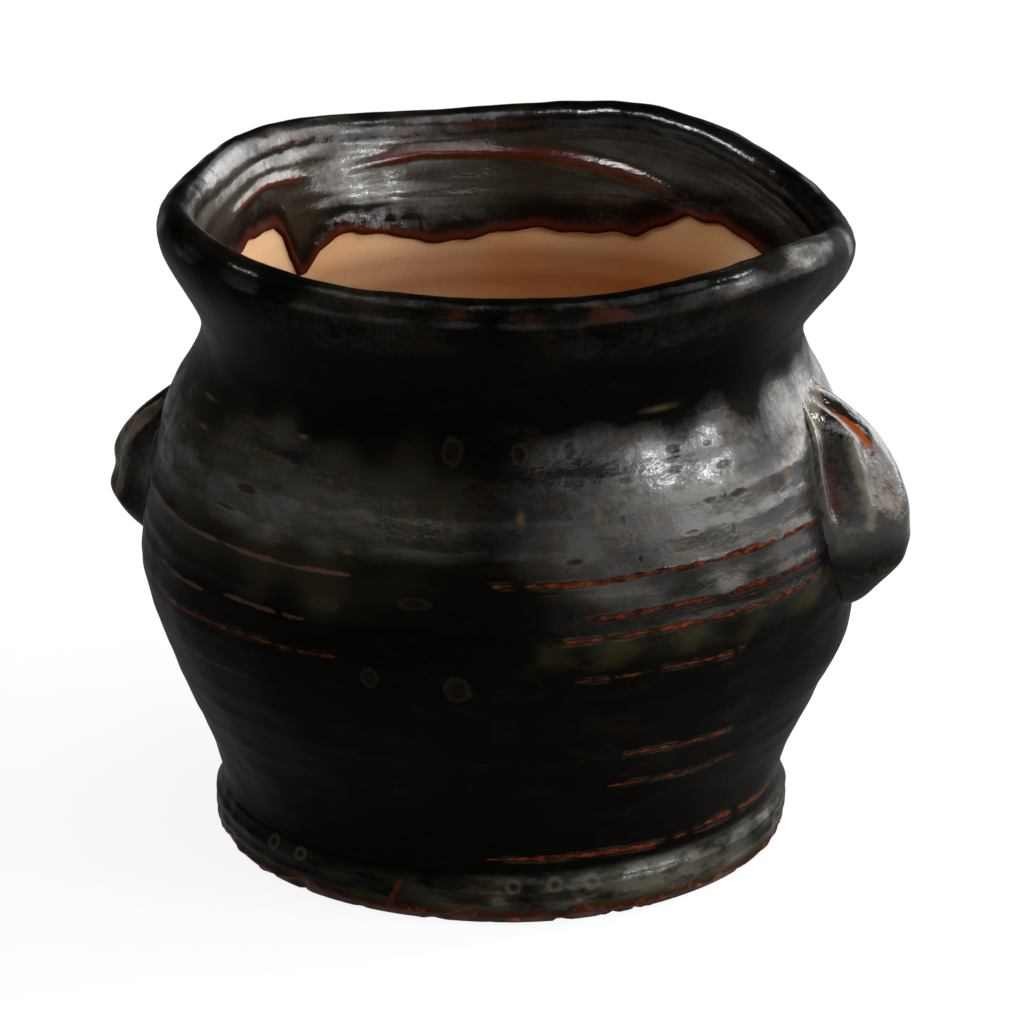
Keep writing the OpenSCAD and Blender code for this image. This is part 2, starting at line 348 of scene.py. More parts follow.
def inside_r(z):
    """Radius of the bare clay inside, with its round corner at the floor."""
    k = np.clip(1 - (z - floor_z) / floor_round, 0, 1)
    corner = floor_round * (1 - np.sqrt(1 - k * k))
    body = outside_r(z) - coat - blend(z, belly_z, neck_z, wall, neck_wall) - corner
    flare = np.clip((z - neck_z) / (lip_z - neck_z), 0, 1) ** 1.5
    low_r, high_r = neck_r - coat - neck_wall, lip_r - roll_t + coat
    return np.where(z > neck_z, low_r + (high_r - low_r) * flare, body)


def foot_r(z):
    """Radius of the foot's clay."""
    k = np.clip(1 - z / foot_wide_z, 0, 1)
    low = foot_edge_r + (foot_wide_r - coat - foot_edge_r) * np.sqrt(1 - k * k)
    high = blend(z, foot_wide_z, foot_h, foot_wide_r - coat, groove_r - coat)
    return np.where(z < foot_wide_z, low, high)


heights = np.linspace(foot_h, lip_z, 5)
print("Outside radius at", heights, "is", outside_r(heights).round(1))

# %% [markdown]
# # What the hand did to the lip
# The lip isn't round or level any more. Four waves, each running a whole number
# of times round the pot, lift it and push it out. They fade to nothing at the
# seam below the neck. A few places of the wall were pushed out as well. The glaze
# was dipped from above, so inside it ends in a line with runs, and one of them is
# a pointed drip.

# %% Waves of the lip and runs of the glaze
waves = (1, 3, 4, 5)
lift = ((2.7, -147), (2.2, -33), (1.8, -25), (0.3, 3))
push = ((1.6, -26), (2.3, -11), (2.1, 47), (1.1, 27))
swells = ((2, 22, 40, 7, 1.9), (0, 24, 28, 6, 0.9), (178, 26, 55, 6, 0.7), (-64, 20, 6, 9, 1.0))
lip_dips = ((-108, 20, -1.7),)
edge_path = (
    (-180, 107.3), (-160, 105.0), (-140, 101.5), (-100, 105.5), (-60, 102.0), (-20, 106.5),
    (10, 104.0), (41, 108.3), (54, 108.0), (62, 107.1), (68, 103.9), (75, 101.3), (86, 100.4),
    (101, 100.6), (108, 100.0), (113, 98.3), (122, 98.8), (129, 100.4), (139, 102.7),
    (144, 101.9), (149, 100.0), (153, 97.0), (155, 97.0), (158, 100.5), (160, 104.5),
    (163, 107.1), (170, 107.4), (180, 107.3))


def degrees_apart(a, at):
    """Turn in degrees from an angle given in degrees, between -180 and 180."""
    return (np.degrees(a) - at + 540) % 360 - 180


def beside(a, at, wide, power=2):
    """1 at an angle in degrees, and down to nothing on both sides of it."""
    return hump(degrees_apart(a, at), wide, power)


def wave(sizes, a):
    return sum(size * np.cos(n * (a - math.radians(at))) for n, (size, at) in zip(waves, sizes))


def waved(r, z, a):
    """A section point of the round pot, moved as the hand moved the wall there."""
    share = smooth((z - seam_z) / (lip_z - seam_z))
    dip = sum(size * beside(a, at, wide) for at, wide, size in lip_dips)
    return r + share * wave(push, a), z + share * (wave(lift, a) + dip)


def swollen(z, a):
    """How much further out the wall stands at a few places that the hand pushed."""
    total = 0
    for at, wide, level, high, size in swells:
        total = total + size * beside(a, at, wide) * hump(z - level, high)
    return total


def dip_edge(a):
    """Height of the glaze's edge inside, before the waves."""
    turns, levels = zip(*edge_path)
    small = 0.6 + 0.25 * np.sin(23 * a) + 0.2 * np.sin(41 * a + 1)
    return np.interp(degrees_apart(a, 0), turns, levels) + small


lifts = wave(lift, np.linspace(0, math.tau, 90))
print("Lip lifts from", lifts.min().round(2), "to", lifts.max().round(2), "mm")

# %% [markdown]
# # Turning a section
# Blender's spin tool does what the wheel does. The section is a closed ring of
# points: a circle whose points are dragged onto the drawing, then spun once round.
# Each point keeps the number of its station on the section, so that it can be
# found again when the surface is pressed and pulled afterwards.

# %% The spin
def get_points(piece):
    at = np.empty(len(piece.data.vertices) * 3)
    piece.data.vertices.foreach_get("co", at)
    return at.reshape(-1, 3)


def set_points(piece, at):
    piece.data.vertices.foreach_set("co", np.asarray(at, float).ravel())
    piece.data.update()


def get_numbers(piece, name):
    values = np.empty(len(piece.data.vertices))
    piece.data.attributes[name].data.foreach_get("value", values)
    return values


def set_numbers(piece, **layers):
    """Keeps numbers on the points of a mesh, each list under its own name."""
    for name, values in layers.items():
        layer = piece.data.attributes.get(name) or piece.data.attributes.new(name, "FLOAT", "POINT")
        layer.data.foreach_set("value", np.asarray(values, float).ravel())


def edit_all():
    bpy.ops.object.mode_set(mode="EDIT")
    bpy.ops.mesh.select_all(action="SELECT")


def close_up(gap):
    """Merges points closer than the gap, turns the faces outward and smooths the shading."""
    edit_all()
    bpy.ops.mesh.remove_doubles(threshold=gap)
    bpy.ops.mesh.delete_loose(use_verts=True, use_edges=True, use_faces=False)
    bpy.ops.mesh.select_all(action="SELECT")
    bpy.ops.mesh.normals_make_consistent(inside=False)
    bpy.ops.object.mode_set(mode="OBJECT")
    bpy.ops.object.shade_smooth()


def spin_section(name, r, z, steps=360):
    """A ring solid: the closed section of radii and heights in mm, spun round Z."""
    bpy.ops.object.select_all(action="DESELECT")
    bpy.ops.mesh.primitive_circle_add(vertices=len(r), radius=0.01, fill_type="NOTHING")
    piece = bpy.context.object
    piece.name = name
    piece.data.name = name
    set_points(piece, np.stack([r, np.zeros(len(r)), z], axis=1) * MM)
    set_numbers(piece, station=np.arange(len(r)))
    edit_all()
    bpy.ops.mesh.spin(steps=steps, angle=math.tau, center=(0, 0, 0), axis=(0, 0, 1))
    close_up(0.01 * MM)
    return piece


def uneven(at, size, seed, count=20):
    """Soft random heights of about -1 to 1, with bumps of about that size in mm."""
    rng = np.random.default_rng(seed)
    ways = rng.normal(size=(count, 3))
    ways *= math.tau / size / np.linalg.norm(ways, axis=1, keepdims=True)
    ways *= rng.uniform(0.7, 1.4, (count, 1))
    return np.cos(at @ ways.T + rng.uniform(0, math.tau, count)).sum(axis=1) / math.sqrt(count)


def patches(at, mean, deep, size, seed):
    """Soft random shares of 0 to 1 about a mean."""
    return np.clip(mean + deep * uneven(at, size, seed), 0, 1)


def round_points(r, z, a):
    """Points at radius r and height z, at angle a."""
    return np.stack([r * np.cos(a), r * np.sin(a), z], axis=1)


def push_out(at, r, by):
    """Moves points, which are at radius r, away from the axis."""
    at[:, :2] *= (1 + by / r)[:, None]


def choose(kind, places):
    """Radius and height of each point, by the part of the section that it belongs to."""
    on = [kind == k for k in places]
    return [np.select(on, [place[i] for place in places.values()]) for i in (0, 1)]


def angles(piece):
    at = get_points(piece)
    return np.arctan2(at[:, 1], at[:, 0])


def turn_piece(name, section, kinds, shares):
    """Spins a section that changes with the angle; also gives what its points are made from."""
    piece = spin_section(name, *section(kinds, shares, np.zeros(len(kinds))))
    station = np.rint(get_numbers(piece, "station")).astype(int)
    a, kind, share = angles(piece), kinds[station], shares[station]
    return piece, a, kind, share, *section(kind, share, a)


def print_box(name, at):
    print(name, "box in mm:", at.min(axis=0).round(2), at.max(axis=0).round(2))


def finish_piece(piece, look, slot, *nodes):
    """Gives a piece its material and its body, and hides the imported nodes that it stands for."""
    piece.data.materials.clear()
    piece.data.materials.append(look)
    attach(piece, "root")
    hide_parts(*nodes)
    triangles = sum(len(face.vertices) - 2 for face in piece.data.polygons)
    print(piece.name, "has", triangles, "triangles")


print("Spin helpers are ready")

# %% [markdown]
# # The glaze over the body
# One coat of glaze runs from the groove above the foot, over the belly and the
# lip, and down to its edge inside. It is a thin closed shell with a wall side
# and a free side. The wheel left ridges where the fingers rose, and they stand out
# a little from the wall.

# %% Throwing ridges
ridges = ((22.9, 0.04), (28.0, 0.08), (35.0, 0.1), (40.6, 0.05), (46.5, 0.05), (52.6, 0.12), (55.2, 0.1),
          (60.2, 0.22), (64.0, 0.3), (70.5, 0.55), (76.4, 0.12), (82.0, 0.1), (88.0, 0.08))
inner_ridges = ((104.5, 0.1), (107.5, 0.2), (110.5, 0.1), (117.0, 0.15))
ridge_half, inner_half = 1.0, 0.9
ridge_sway = ((0.18, 1, 0.7), (0.1, 2, 2.1))


def sway(a):
    """How far a ridge strays from its level at angle a."""
    return sum(size * np.sin(n * a + at) for size, n, at in ridge_sway)


inner_break = (
    (62, 109.9), (69, 110.6), (75, 111.5), (85, 112.6), (96, 114.3), (110, 116.0), (121, 116.5),
    (140, 114.0))
left_break = ((148, 113.4), (152, 113.8), (164, 114.9), (186, 113.8))


def tapered(a, start, end):
    """1 along the middle of a run of angles, and down to 0 at its two ends."""
    t = ((np.degrees(a) - start) % 360) / ((end - start) % 360)
    return np.where(t < 1, np.sqrt(np.clip(1 - np.abs(2 * t - 1) ** 5, 0, 1)), 0)


def break_path(a, path_points):
    """Height of a ridge inside the lip, and 1 where it is, falling to 0 at its ends."""
    turns, levels = zip(*path_points)
    return np.interp(np.degrees(a) % 360, turns, levels), tapered(a, turns[0], turns[-1]) ** 2


def ridge_relief(z, a):
    """Height of the throwing ridges over the smooth wall."""
    total = 0
    for level, high in ridges:
        total = total + high * hump(z - level - sway(a), ridge_half)
    return total


def inner_relief(z, a):
    """Height of the ridges inside the lip, where the red one is the highest."""
    total = 0
    for level, high in inner_ridges:
        total = total + high * hump(z - level - 4 * sway(a), inner_half)
    for path_points, high in ((inner_break, 0.7), (left_break, 0.4)):
        path, run = break_path(a, path_points)
        total = total + high * run * hump(z - path, inner_half)
    return total


print("Ridges:", len(ridges) + len(inner_ridges))

# %% The coat's section
outside, crest, inside, edge, back_inside, back_crest, back_outside = range(7)
coat_parts = ((outside, 154), (crest, 15), (inside, 34), (edge, 4),
              (back_inside, 10), (back_crest, 6), (back_outside, 22))
coat_kind = np.repeat(*zip(*coat_parts))
coat_share = np.concatenate([(np.arange(n) + 0.5) / n for kind, n in coat_parts])
# Two points close together keep the coat's lower end crisp
coat_share[:2] = 0, 0.0002
coat_share[-2:] = 0.9998, 1
edge_t, edge_drop = 0.95, 0.8
thinned, beaded = 0.25, 0.4


def coat_section(kind, share, a):
    """Radius and height of the coat's section at each station, before the waves."""
    low = dip_edge(a)
    lip_mid = lip_r - roll_t / 2
    f = math.pi * share
    z_out = foot_h + joint + share * (lip_z - foot_h - joint)
    z_down = lip_z + share * (foot_h + joint - lip_z)
    z_in = lip_z + share * (low - lip_z)
    z_up = lip_z + (1 - share) * (low - lip_z)
    thin = coat - thinned * smooth(share * 3) + beaded * smooth((share - 0.8) / 0.2)
    places = {
        outside: (outside_r(z_out) + ridge_relief(z_out, a) + swollen(z_out, a), z_out),
        crest: (lip_mid + roll_t / 2 * np.cos(f), lip_z + roll_rise * np.sin(f)),
        inside: (inside_r(z_in) - thin - inner_relief(z_in, a) * smooth((z_in - low) / 2), z_in),
        edge: (inside_r(low) - edge_t * np.cos(f / 2), low - edge_drop * np.sin(f / 2)),
        back_inside: (inside_r(z_up) + seat, z_up),
        back_crest: (lip_mid - (roll_t / 2 - coat) * np.cos(f), lip_z + (roll_rise - coat) * np.sin(f)),
        back_outside: (outside_r(z_down) - coat + swollen(z_down, a), z_down)}
    return choose(kind, places)


print("Coat's section has", len(coat_kind), "points")

# %% The body's coat
glaze_coat, a, kind, share, coat_r, coat_z = turn_piece("glaze_coat", coat_section, coat_kind, coat_share)
r, z = waved(coat_r, coat_z, a)
at = round_points(r, z, a)
free_side = kind <= edge
pressed = 0.16 * uneven(at, 24, 3) + 0.04 * uneven(at * (1, 1, 1.6), 9, 4)
fade = np.where(kind == outside, smooth((z - foot_h) / 6), 0.6)
rolled = np.where(kind == crest, 0.06 * uneven(at, 6, 5) + 0.03 * uneven(at, 3, 7), 0)
push_out(at, r, np.where(free_side, pressed * fade + rolled, 0))
at[:, 2] += np.where(kind == crest, 0.1 * uneven(at, 12, 6), 0)
set_points(glaze_coat, at * MM)
print_box("Coat's", at)

# %% [markdown]
# # Where the glaze breaks
# Iron glaze turns red where a ridge makes it thin. On this pot the red lines are
# short: they run beside the right lug, and a few beside the left one. Each is
# listed by its height, the angles it runs between, half its thickness and its
# heat, from -1 for a dull rose to 1 for orange. The coat's points keep the distance
# to the nearest line, and the material draws it from that, finer than the mesh.

# %% Broken lines
outer_breaks = (
    (70.6, -78, -12, 0.42, 0.6), (70.5, -153, -98, 0.42, -0.5), (64.0, -62, -11, 0.42, 0.1),
    (60.2, -66, -12, 0.4, 0.7), (55.2, -154, -100, 0.34, 0.1), (52.6, -64, -32, 0.26, 0.5),
    (61.3, -124, -106, 0.42, -1.0), (60.6, -144, -128, 0.36, -1.0), (35.0, -54, -30, 0.28, 0.6),
    (28.0, -56, -26, 0.26, 0.4), (46.5, -140, -112, 0.2, 0.0), (12.7, -78, 6, 0.42, 0.9),
    (70.4, 14, 80, 0.4, 0.5), (64.1, 52, 118, 0.36, -0.4), (60.4, 100, 164, 0.36, 0.6),
    (52.6, 30, 74, 0.26, 0.3), (35.0, 88, 120, 0.26, 0.5), (70.6, 128, 168, 0.36, -0.5),
    (12.8, 80, 130, 0.36, 0.5))
line_margin, line_reach = 3, 2.4

off = np.full(len(a), 4.0)
half = np.zeros(len(a))
heat = np.zeros(len(a))
frayed = np.clip(0.85 + 0.45 * uneven(at * (1, 1, 0.3), 9, 21) + 0.35 * uneven(at, 3.5, 22), 0, 1.3)
for level, start, end, thick, warm in outer_breaks:
    path = level + sway(a) + 0.25 * uneven(at * (1, 1, 0), 24, 23)
    run = tapered(a, start, end)
    along = tapered(a, start - line_margin, end + line_margin) > 0
    on = (kind == outside) & (np.abs(coat_z - path) < line_reach) & along
    off[on] = (coat_z - path)[on]
    half[on] = (thick * run * frayed)[on]
    heat[on] = warm
half = half * smooth((2.1 - np.abs(off)) / 0.6)
set_numbers(glaze_coat, line_off=off, line_half=half, line_heat=heat)
print("Points on a broken line:", int((half > 0.1).sum()))

# %% [markdown]
# # Where bubbles burst
# Small bubbles burst in the glaze over the shoulder and healed as rings, ovals and
# short dashes. Those that are plain in the picture are listed by angle, height and
# half sizes, and the rest of the way round is filled by chance. The last number
# says how much the middle turned tan. Each point near a bubble keeps its place
# inside it, so that the material can draw the ring finer than the mesh.

# %% Burst bubbles
bubbles = [
    (-83, 92.8, 1.4, 1.8, 0.0), (-71, 92.6, 1.1, 1.3, 0.0), (-62, 92.9, 1.3, 1.5, 0.0),
    (-44, 98.0, 3.2, 0.6, 0.7), (-71, 82.0, 0.8, 1.7, 0.8), (-58, 82.0, 0.8, 1.8, 0.8),
    (-48, 80.6, 0.9, 1.9, 0.7), (-24, 80.5, 0.9, 1.3, 0.8), (-18.5, 80.8, 1.2, 1.8, 0.9),
    (-37.5, 81.2, 1.7, 0.8, 0.2), (-31.5, 81.2, 2.1, 0.9, 0.1), (-33, 86.6, 2.2, 0.7, 0.3),
    (-43, 87.6, 2.0, 0.8, 0.1), (-42.5, 90.8, 1.8, 0.8, 0.5), (-62, 87.6, 2.2, 1.1, 0.3),
    (-53, 87.2, 2.0, 0.7, 0.2), (-123.5, 91.6, 2.6, 0.6, 0.7), (-112, 91.8, 1.3, 0.5, 0.9),
    (-129.5, 87.2, 1.6, 0.9, 0.8), (-119, 87.0, 5.0, 0.8, 0.7), (-121, 81.0, 3.0, 0.9, 0.6),
    (-108, 81.1, 1.6, 0.7, 0.8), (-98, 81.4, 1.6, 0.7, 0.7), (-89.7, 80.8, 1.4, 3.0, 0.65),
    (-83, 80.6, 1.1, 2.2, 0.6), (-81, 51.0, 1.8, 1.9, 0.0), (-95, 52.0, 1.3, 1.4, 0.0),
    (-103, 64.5, 2.4, 0.8, 0.6), (-88, 66.5, 2.4, 0.8, 0.4)]
bubble_tries, bubble_most = 900, 150
front_gap, lug_gap = (-98, -74), 24
rng = np.random.default_rng(7)
for attempt in range(bubble_tries):
    round_at = rng.uniform(-180, 180)
    level = 73 + 21 * rng.beta(1.4, 1.8)
    left_side = -180 < round_at < -98
    wide, high = (rng.uniform(0.9, 3.6 if left_side else 2.0), rng.uniform(0.42, 0.65))
    if rng.random() < (0.05 if left_side else 0.2):
        wide, high = rng.uniform(0.5, 0.75), rng.uniform(0.8, 1.3)
    clear = all(abs((round_at - other[0] + 540) % 360 - 180) * 1.1 > 2.4 * (wide + other[2])
                or abs(level - other[1]) > 2.2 * (high + other[3]) for other in bubbles)
    free = not front_gap[0] < round_at < front_gap[1] and abs(round_at) > lug_gap
    if clear and free and len(bubbles) < bubble_most:
        bubbles.append((round_at, level, wide, high, rng.uniform(0.5 if left_side else 0, 1)))

across = np.full(len(a), 3.0)
upward = np.full(len(a), 3.0)
tan_share = np.zeros(len(a))
nearest = np.full(len(a), 99.0)
for round_at, level, wide, high, warm in bubbles:
    du = np.radians(degrees_apart(a, round_at)) * coat_r / wide
    dv = (coat_z - level) / high
    far = np.hypot(du, dv)
    on = (kind == outside) & (far < nearest) & (far < 4)
    nearest[on], across[on], upward[on], tan_share[on] = far[on], du[on], dv[on], warm
here = smooth((2.1 - nearest) / 0.4)
set_numbers(glaze_coat, bubble_across=across, bubble_up=upward, bubble_here=here, bubble_tan=tan_share)
print("Bubbles:", len(bubbles))

# %% [markdown]
# # Where the glaze shines and pools
# The coat is thick and glassy on the shoulder and inside the lip, and thin and dry
# under the belly and in the neck. The glaze's colour follows the same shine: where
# the shine is low it is black, which is painted shade under the belly, in the neck,
# on the left and in a narrow band that faces the camera. On the left shoulder a grey
# film is painted in as the soft sheen of the light from the left. Below the red lines
# it pools to olive. Along its edge inside, and on top of the lip, it turns to a clear
# red-brown.

# %% Shine, olive and brown
turn = degrees_apart(a, 0)
z_soft = coat_z + 2.0 * uneven(at * (1, 1, 0.4), 14, 31)
left_share = smooth((-62 - turn) / 20) * smooth((turn + 178) / 10)
low_fade = smooth((z_soft - 64 - 7 * left_share) / 8)
high_fade = smooth((99 - z_soft - 4 * left_share) / 9)
lower_band = smooth((coat_z - 50) / 12) * smooth((72 - coat_z) / 4)
outer_shine = 0.05 + 0.95 * low_fade * high_fade
outer_shine = outer_shine + 0.22 * lower_band * smooth((turn + 80) / 25)
outer_shine = outer_shine + 0.12 * smooth((coat_z - 108) / 6)
# Less shine and painted black shade on the left and in a narrow band facing the camera; dull and
# above_line do the same beside the right lug and above the first red line
dry = 0.8 * beside(a, -155, 40, 4) + 0.7 * beside(a, -76, 7)
dull = 0.55 * beside(a, -20, 13) * smooth((coat_z - 81) / 5)
above_line = 0.55 * hump(coat_z - 71.2, 1.9) * smooth((turn + 76) / 20)
outer_shine = outer_shine * (1 - dry) * (1 - dull) * (1 - above_line)
crest_shine = 0.25 + 0.6 * smooth((share - 0.55) / 0.2) + 0.25 * uneven(at, 12, 32)
inner_shine = 0.85 + 0.3 * uneven(at * (1, 1, 3), 16, 33) + 0.3 * beside(a, 168, 30)
shine = np.select([kind == outside, kind == crest, kind == inside],
                  [outer_shine, crest_shine, inner_shine], 0.5)
set_numbers(glaze_coat, shine=np.clip(shine, 0.03, 1))

bands = hump(coat_z - 57.5, 3.2) + 0.7 * hump(coat_z - 67.8, 1.3) + 0.8 * hump(coat_z - 72.3, 1.2)
olive_sides = np.clip(beside(a, -38, 34, 4) + 0.7 * beside(a, 95, 60, 4), 0, 1)
olive_share = bands * olive_sides * patches(at, 0.7, 0.5, 13, 34)
# Painted sheen: a mottled grey film on the left shoulder stands in for the soft sheen of the light from
# the left
left_film = beside(a, -125, 38, 4) * smooth((z_soft - 60) / 9) * smooth((97 - z_soft) / 10)
left_film = left_film * patches(at * (1, 1, 0.7), 0.75, 0.35, 15, 36)
set_numbers(glaze_coat, olive=np.where(kind == outside, olive_share, 0),
            film=np.where(kind == outside, left_film, 0))
print("Shine runs from", round(float(shine.min()), 2), "to", round(float(shine.max()), 2))

# %% Brown and red
above_edge = np.select([kind == inside, kind == edge], [coat_z - dip_edge(a), 0 * a], 40.0)
crest_turn = np.degrees(a) % 360
far_sides = np.clip(hump(crest_turn - 150, 60, 4) + 0.6 * hump(crest_turn - 25, 22, 4), 0, 1)
inner_rust = hump(share - 0.88, 0.07) * far_sides
front_patch = 0.95 * beside(a, -57, 5) * hump(share - 0.12, 0.2)
dark_patch = 0.62 * beside(a, -75, 13, 4) * hump(share - 0.16, 0.16)
crest_rust = inner_rust * np.clip(1.1 + 0.6 * uneven(at, 11, 35), 0, 1.5) + front_patch + dark_patch
inner_red = 0
for path_points, thick in ((inner_break, 1.5), (left_break, 0.8)):
    path, run = break_path(a, path_points)
    inner_red = np.maximum(inner_red, 1.3 * run * hump(coat_z - path, thick))
red_here = np.select([kind == crest, kind == inside], [crest_rust, inner_red], 0)
set_numbers(glaze_coat, above_edge=above_edge, red=red_here)
print("Points that turn red:", int((red_here > 0.5).sum()))

# %% [markdown]
# # The thrown clay
# Under the coat is the thrown body: floor and wall in one piece. It shows inside
# the mouth, below the edge of the glaze, where the fingers left a long spiral.

# %% The clay's section
underside, root, wall_outside, wall_crest, wall_inside, floor_side = range(6)
clay_parts = ((underside, 6), (root, 4), (wall_outside, 60),
              (wall_crest, 8), (wall_inside, 100), (floor_side, 36))
clay_kind = np.repeat(*zip(*clay_parts))
clay_share = np.concatenate([np.arange(n) / (n - 1) for kind, n in clay_parts])
spiral_step, spiral_high = 6.4, 0.12


def clay_section(kind, share, a):
    """Radius and height of the clay's section at each station, before the waves."""
    lip_mid = lip_r - roll_t / 2
    f = math.pi * (0.06 + 0.88 * share)
    z_out = foot_h + share * (lip_z - foot_h)
    z_in = lip_z + share * (floor_z - lip_z)
    corner_r = inside_r(np.array(floor_z)) - 0.02
    spiral = spiral_high * np.cos(math.tau * z_in / spiral_step + a)
    r_in = inside_r(z_in) + 0.03 + spiral * smooth((z_in - floor_z) / 8) * smooth((neck_z - z_in) / 6)
    r_floor = corner_r * (1 - share)
    ripple = spiral_high * np.cos(math.tau * r_floor / spiral_step + a)
    z_floor = floor_z + ripple * smooth(r_floor / 6) * smooth((corner_r - r_floor) / 4)
    places = {
        underside: ((hollow_r - seat) * share, np.full(len(share), hollow_h)),
        root: (np.full(len(share), hollow_r - seat), hollow_h + 0.2 + share * (foot_h - hollow_h - 0.4)),
        wall_outside: (outside_r(z_out) - coat - seat + swollen(z_out, a), z_out),
        wall_crest: (lip_mid + (roll_t / 2 - coat - seat) * np.cos(f),
                     lip_z + (roll_rise - coat - seat) * np.sin(f)),
        wall_inside: (r_in, z_in),
        floor_side: (r_floor, z_floor)}
    return choose(kind, places)


print("Clay's section has", len(clay_kind), "points")

# %% The thrown clay
clay_values = turn_piece("thrown_clay", clay_section, clay_kind, clay_share)
thrown_clay, a, kind, share, clay_r, clay_z = clay_values
r, z = waved(clay_r, clay_z, a)
at = round_points(r, z, a)
set_points(thrown_clay, at * MM)
# Painted shade: the clay turns darker and warmer low down inside and on the right of the inside, with
# random clouds of tone
toasted = smooth((94 - clay_z) / 26) + 0.35 * uneven(at, 30, 41) + 0.5 * beside(a, 40, 50)
set_numbers(thrown_clay, toasted=np.clip(toasted, 0, 1))
print_box("Clay's", at)

# %% [markdown]
# # The foot
# The foot ring was turned separately and luted on. Its lower edge is bare, and the
# grit that it stood on in the kiln chipped it and stuck to it in lumps. The glaze
# over it stops short of the edge in an uneven line.

# %% The foot's clay
foot_z = np.linspace(0, foot_h, 44)
ring_r = np.concatenate([foot_r(foot_z), np.full(4, hollow_r)])
ring_z = np.concatenate([foot_z, foot_h * np.array((1, 0.6, 0.3, 0))])
foot_clay = spin_section("foot_clay", ring_r, ring_z)
a = angles(foot_clay)
at = get_points(foot_clay) / MM
r = np.hypot(at[:, 0], at[:, 1])
outer = r > hollow_r + 1
level = at[:, 2]
chips = np.clip(uneven(at * (1, 1, 0.4), 6, 11) + 0.6 * uneven(at, 2.6, 12) - 0.6, 0, 1.0)
lumps = np.clip(uneven(at * (1, 1, 0.6), 5, 16) - 1.0, 0, 0.7)
low = smooth((3.4 - level) / 2.6)
change = (0.5 - 1.0 * chips + 1.2 * lumps) * low + swollen(level, a)
push_out(at, r, np.where(outer, change, 0))
set_points(foot_clay, at * MM)
set_numbers(foot_clay, lump=np.where(outer, np.clip(lumps * 3, 0, 1), 0))
print_box("Foot's", at)

# %% The foot's glaze
front_side, back_side = range(2)
skirt_kind = np.repeat((front_side, back_side), (40, 12))
skirt_share = np.concatenate([np.arange(40) / 39, 1 - np.arange(12) / 11])
skirt_share[38] = 0.998
foot_ridges = ((4.6, 0.22), (7.2, 0.2), (9.4, 0.15))
foot_ring_turns = (-72, -64, -56.5, -118, -126)


def foot_edge(a):
    """Height at which the foot's glaze ends, at angle a."""
    ring = round_points(foot_wide_r, 0 * a, a)
    return 1.3 + 0.4 * uneven(ring, 17, 13) + 0.3 * uneven(ring, 5, 14)


def skirt_section(kind, share, a):
    """Radius and height of the foot's coat, thick low down and fading into the groove."""
    low = foot_edge(a)
    z = low + share * (foot_h - joint - low)
    full = coat * smooth((z - low + 0.35) / 1.3) + 0.5 * smooth((3.4 - z) / 2.6)
    for level, high in foot_ridges:
        full = full + high * hump(z - level - sway(a), 0.7)
    below = smooth((foot_h + 1.2 - z) / 1.5)
    full = full * below + coat * (1 - below)
    return np.where(kind == front_side, foot_r(z) + full, foot_r(z) - seat) + swollen(z, a), z


foot_coat, a, kind, share, r, z = turn_piece("foot_coat", skirt_section, skirt_kind, skirt_share)
at = round_points(r, z, a)
push_out(at, r, np.where(kind == front_side, 0.1 * uneven(at, 7, 15), 0))
set_points(foot_coat, at * MM)
print_box("Foot coat's", at)

# %% Marks on the foot's glaze
ring_off = np.full(len(a), 3.0)
for round_at in foot_ring_turns:
    du = np.radians(degrees_apart(a, round_at)) * foot_wide_r / 1.2
    ring_off = np.minimum(ring_off, np.hypot(du, (z - 7.9) / 1.0))
streak = beside(a, -96 + 0.5 * (z - 4), 0.8) * smooth((9.0 - z) / 2)
# Painted sheen: the sides of the foot that face the lamps get a mottled grey and more gloss
pale_sides = np.clip(beside(a, -42, 42, 4) + 0.6 * beside(a, 110, 50, 4), 0, 1)
pale_sides = pale_sides * patches(at, 0.75, 0.4, 12, 17)
olive_foot = hump(z - 3.4, 1.6) * patches(at, 0.75, 0.5, 15, 18)
set_numbers(foot_coat, above_foot_edge=z - foot_edge(a), ring_off=ring_off, streak=streak,
            pale_side=pale_sides, olive=olive_foot)
print("Small rings on the foot:", len(foot_ring_turns))

# %% [markdown]
# # The two lugs
# Each lug is a wad of clay pressed to the shoulder with the fingers. A grid is laid
# over its outline on the wall, and each of its points is raised as the fingers left
# it: a full outline, a long hollow beside the body, a ridge, and an oval print near
# the tip. The clay and its coat share one relief, so the coat lies evenly on it.

# %% Relief of a lug
def dent(y, z, y0, z0, w, h):
    """Share, up to 1, of a soft oval hollow about y0 and z0."""
    return hump(y - y0, w) * hump(z - z0, h)


right_lug = dict(low=49.2, top=94.0, crown=91.0, reach=13.0, width=22.8, tip=0.49, full=0.65)
left_lug = dict(low=49.0, top=82.2, crown=82.2, reach=11.6, width=22.0, tip=0.44, full=1.0)


def lug_height(y, z, lug, marks):
    """Raise of the lug over the wall at y across and z up, all in mm."""
    t = (z - lug["low"]) / (lug["top"] - lug["low"])
    half = lug["width"] / 2 * np.sqrt(np.clip(1 - (2 * t - 1) ** 2, 1e-6, 1))
    t = (z - lug["low"]) / (lug["crown"] - lug["low"])
    s = np.where(t < lug["tip"], (t - lug["tip"]) / lug["tip"], (t - lug["tip"]) / (1 - lug["tip"]))
    q = np.clip(np.abs(y / half), 0, 1)
    dome = lug["reach"] * np.clip(1 - s * s, 0, 1) ** lug["full"] * (1 - q * q) ** 1.1
    dome = dome * (1 - 0.6 * smooth((z - lug["crown"] + 8) / 7) * smooth((3 - y) / 6))
    change = sum(marks(y, z, y + half).values())
    return dome + np.maximum(change, 0.25 - dome) * np.clip(dome / 0.3, 0, 1) - 0.15


print("The lugs reach out by", right_lug["reach"], "and", left_lug["reach"], "mm")

# %% Finger marks
print_at = (-3.9, 73.2)


